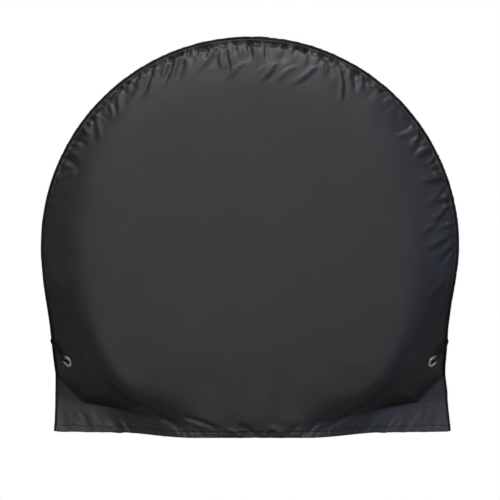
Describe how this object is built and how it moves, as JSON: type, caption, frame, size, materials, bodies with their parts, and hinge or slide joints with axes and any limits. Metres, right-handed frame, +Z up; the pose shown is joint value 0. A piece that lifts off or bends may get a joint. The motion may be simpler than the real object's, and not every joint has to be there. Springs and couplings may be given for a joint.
{
  "type": "tire cover",
  "caption": "Slip-on fabric cover for a caravan wheel or spare tire, open behind and below, with grommets, tie cords and a cord lock.",
  "frame": {"origin": "centre of the wheel that the cover fits, on its axle's line, in the tire's middle plane", "axes": "the front face looks along -Y, +X is to the right seen from the front, +Z is up; the opening is behind, at +Y, and below"},
  "size_m": [0.744, 0.2585, 0.7096],
  "materials": {
    "coated_cloth": "satin",
    "binding_tape": "matte",
    "elastic": "matte",
    "nickel_plate": "polished",
    "braided_cord": "matte",
    "lock_plastic": "satin",
    "spring_steel": "satin"
  },
  "bodies": {
    "cover": {"front_panel": "coated_cloth", "front_hem_band": "coated_cloth", "side_band_crown": "coated_cloth", "side_band_left": "coated_cloth", "side_band_right": "coated_cloth", "side_hem_band_left": "coated_cloth", "side_hem_band_right": "coated_cloth", "perimeter_piping": "coated_cloth", "seam_binding": "binding_tape", "rear_elastic_casing": "coated_cloth", "rear_elastic": "elastic", "left_grommet_patch": "binding_tape", "left_grommet_eyelet": "nickel_plate", "left_grommet_washer": "nickel_plate", "right_grommet_patch": "binding_tape", "right_grommet_eyelet": "nickel_plate", "right_grommet_washer": "nickel_plate", "left_tie_cord": "braided_cord", "right_tie_cord": "braided_cord", "cord_lock_body": "lock_plastic", "cord_lock_spring": "spring_steel"},
    "lock_button": {"cord_lock_button": "lock_plastic"}
  },
  "joints": [
    {"name": "cord_lock_press", "type": "slide", "parent": "cover", "child": "lock_button", "axis": [0, -1, 0], "range_m": [0, 0.004], "stiffness_N_per_m": 800, "springref_m": -0.002, "deforming": ["cord_lock_spring"]}
  ]
}
